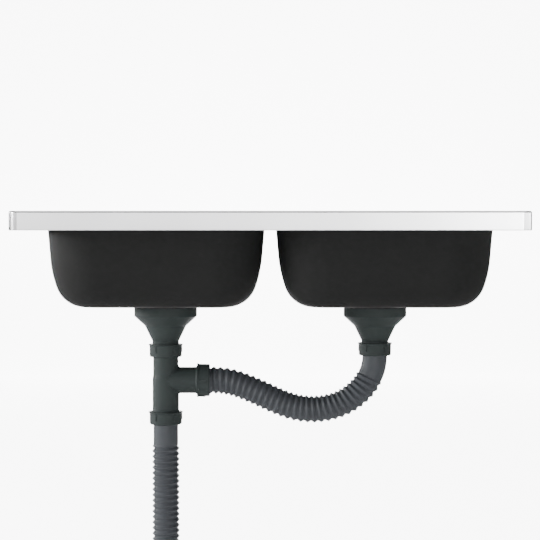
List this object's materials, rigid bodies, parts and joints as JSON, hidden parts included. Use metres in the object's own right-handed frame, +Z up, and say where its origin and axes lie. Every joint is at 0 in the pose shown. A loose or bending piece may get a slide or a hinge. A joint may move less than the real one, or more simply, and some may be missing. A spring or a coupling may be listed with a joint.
{
  "type": "double bowl kitchen sink",
  "caption": "Lay-on double bowl kitchen sink with raised rim, tap hole, lift-out basket strainers, and a waste kit of funnels, tee and ribbed hoses.",
  "frame": {"origin": "centre of the plane that the rim rests on, under the skirt's return flange", "axes": "+X to the right seen from the front, +Y to the back where the tap stands, +Z up out of the bowls"},
  "size_m": [0.8, 0.6, 0.7198],
  "materials": {
    "satin_steel": "satin",
    "coated_steel": "satin inside, black sound-deadening coat outside",
    "polished_steel": "polished",
    "brass": "plain",
    "black_rubber": "matte",
    "grey_plastic": "moulded satin",
    "hose_plastic": "satin",
    "black_plastic": "gloss"
  },
  "bodies": {
    "sink": {"deck": "satin_steel", "left_bowl": "coated_steel", "right_bowl": "coated_steel", "cup_seals": "black_rubber", "strainer_cups": "polished_steel", "funnel_gaskets": "black_rubber", "left_funnel": "grey_plastic", "right_funnel": "grey_plastic", "clamp_screws": "polished_steel", "clamp_nuts": "brass", "union_nuts": "grey_plastic", "union_washers": "black_rubber", "tee": "grey_plastic", "connecting_hose": "hose_plastic", "drain_hose": "hose_plastic", "outlet_spigot": "grey_plastic"},
    "left_strainer_basket": {"left_basket": "polished_steel", "left_basket_plug": "black_rubber", "left_basket_knob": "black_plastic"},
    "right_strainer_basket": {"right_basket": "polished_steel", "right_basket_plug": "black_rubber", "right_basket_knob": "black_plastic"}
  },
  "joints": [
    {"name": "left_basket_lift", "type": "slide", "parent": "sink", "child": "left_strainer_basket", "axis": [0, 0, 1], "range_m": [0, 0.05]},
    {"name": "right_basket_lift", "type": "slide", "parent": "sink", "child": "right_strainer_basket", "axis": [0, 0, 1], "range_m": [0, 0.05]}
  ]
}
